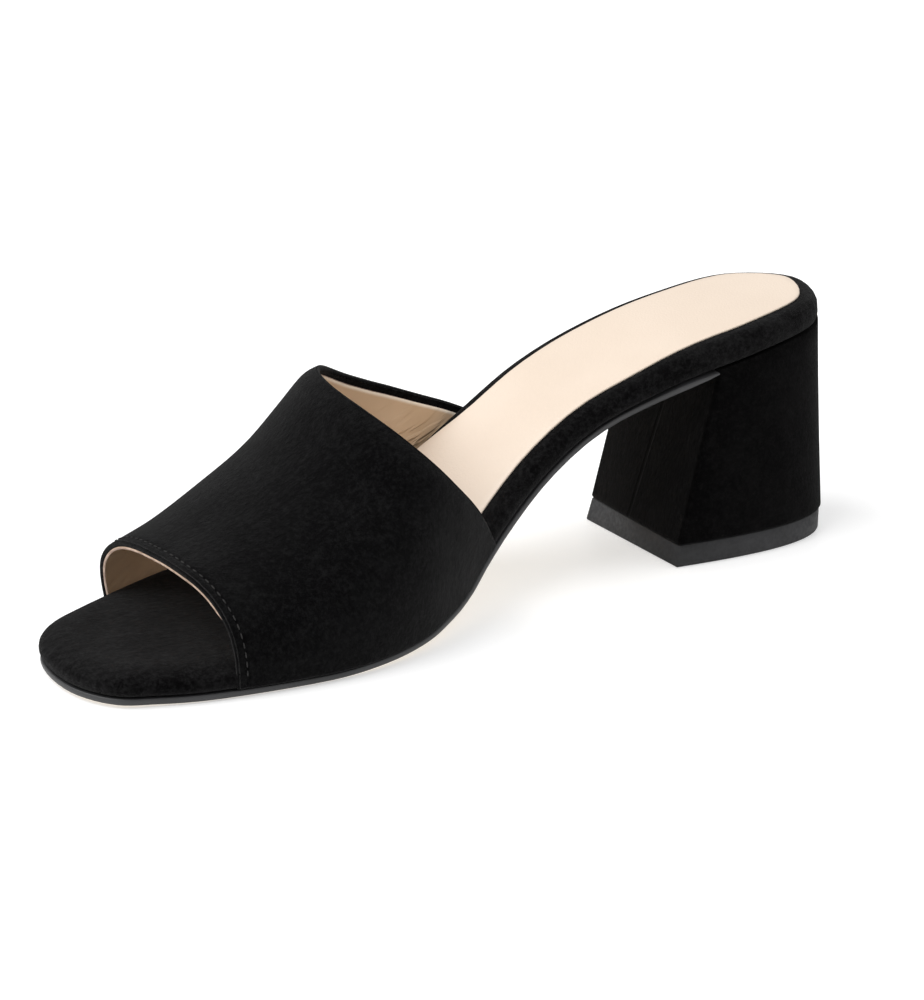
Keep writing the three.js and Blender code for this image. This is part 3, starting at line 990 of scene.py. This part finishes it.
FLOOR_REACH = 4


def make_floor(material):
    """Plain floor, metres wide, that isn't part of the shoe."""
    bm = bmesh.new()
    bmesh.ops.create_grid(bm, x_segments=1, y_segments=1, size=FLOOR_REACH)
    mesh = bpy.data.meshes.new("floor")
    bm.to_mesh(mesh)
    bm.free()
    mesh.materials.append(material)
    floor = bpy.data.objects.new("floor", mesh)
    bpy.context.scene.collection.objects.link(floor)


WORLD_STRENGTH = 0.45
TOE_LIGHT = {"source": (0.68, -0.36, 0.95), "strength": 2.7, "softness": 60}
BACK_LIGHT = {"source": (-0.50, 0.25, 0.90), "strength": 0.7, "softness": 80}


def make_sun(name, source, strength, softness):
    """A distant light from a direction, as wide in the sky as its softness in degrees."""
    light = bpy.data.lights.new(name, "SUN")
    light.energy = strength
    light.angle = math.radians(softness)
    lamp = bpy.data.objects.new(name, light)
    lamp.rotation_euler = Vector(source).to_track_quat("Z", "Y").to_euler()
    bpy.context.scene.collection.objects.link(lamp)


def make_studio():
    """White surroundings, a wide light over the toe's outer side and a weak one over the heel."""
    world = bpy.data.worlds.new("white studio")
    world.use_nodes = True
    background = world.node_tree.nodes["Background"]
    background.inputs["Color"].default_value = (1, 1, 1, 1)
    background.inputs["Strength"].default_value = WORLD_STRENGTH
    bpy.context.scene.world = world
    bpy.context.scene.view_settings.view_transform = "Standard"
    make_sun("toe_light", **TOE_LIGHT)
    make_sun("back_light", **BACK_LIGHT)


# The photo's camera in the frame's metres, turned and zoomed onto the shoe.
CAMERA_PLACE = Vector((0.6146, 0.6431, 0.3101))
CAMERA_AIM = Vector((0.081, -0.008, 0.022))
CAMERA_ROLL = math.radians(0.7)
CAMERA_LENS = 128
CAMERA_SENSOR = 36
CAMERA_NEAR = 0.01


def make_camera():
    data = bpy.data.cameras.new("camera")
    data.sensor_fit = "AUTO"
    data.sensor_width = CAMERA_SENSOR
    data.lens = CAMERA_LENS
    data.clip_start = CAMERA_NEAR
    camera = bpy.data.objects.new("camera", data)
    turn = (CAMERA_AIM - CAMERA_PLACE).to_track_quat("-Z", "Y").to_matrix().to_4x4()
    camera.matrix_world = Matrix.Translation(CAMERA_PLACE) @ turn @ Matrix.Rotation(CAMERA_ROLL, 4, "Z")
    bpy.context.scene.collection.objects.link(camera)
    bpy.context.scene.camera = camera


make_camera()
make_studio()
make_floor(paint_floor())
insole_suede = paint_suede(
    "black insole suede", dark=(0.0012, 0.0010, 0.0012), light=(0.0180, 0.0178, 0.0182),
    speckle=0.4, sheen=0.062,
)
heel_suede = paint_suede(
    "black heel suede", dark=(0.0006, 0.0005, 0.0006), light=(0.0070, 0.0065, 0.0066),
    speckle=0.35, sheen=0.045, seam=True,
)
strap_suede = paint_suede(
    "black strap suede", dark=(0.0010, 0.0009, 0.0011), light=(0.0110, 0.0110, 0.0113),
    speckle=0.42, sheen=0.085,
)
make_outsole(paint_outsole())
make_insole(insole_suede)
make_sock(paint_sock())
make_heel(heel_suede)
make_lift(paint_lift())
make_strap(strap_suede)
make_lining(paint_lining(), paint_cut_edge())
make_stitches(paint_thread())
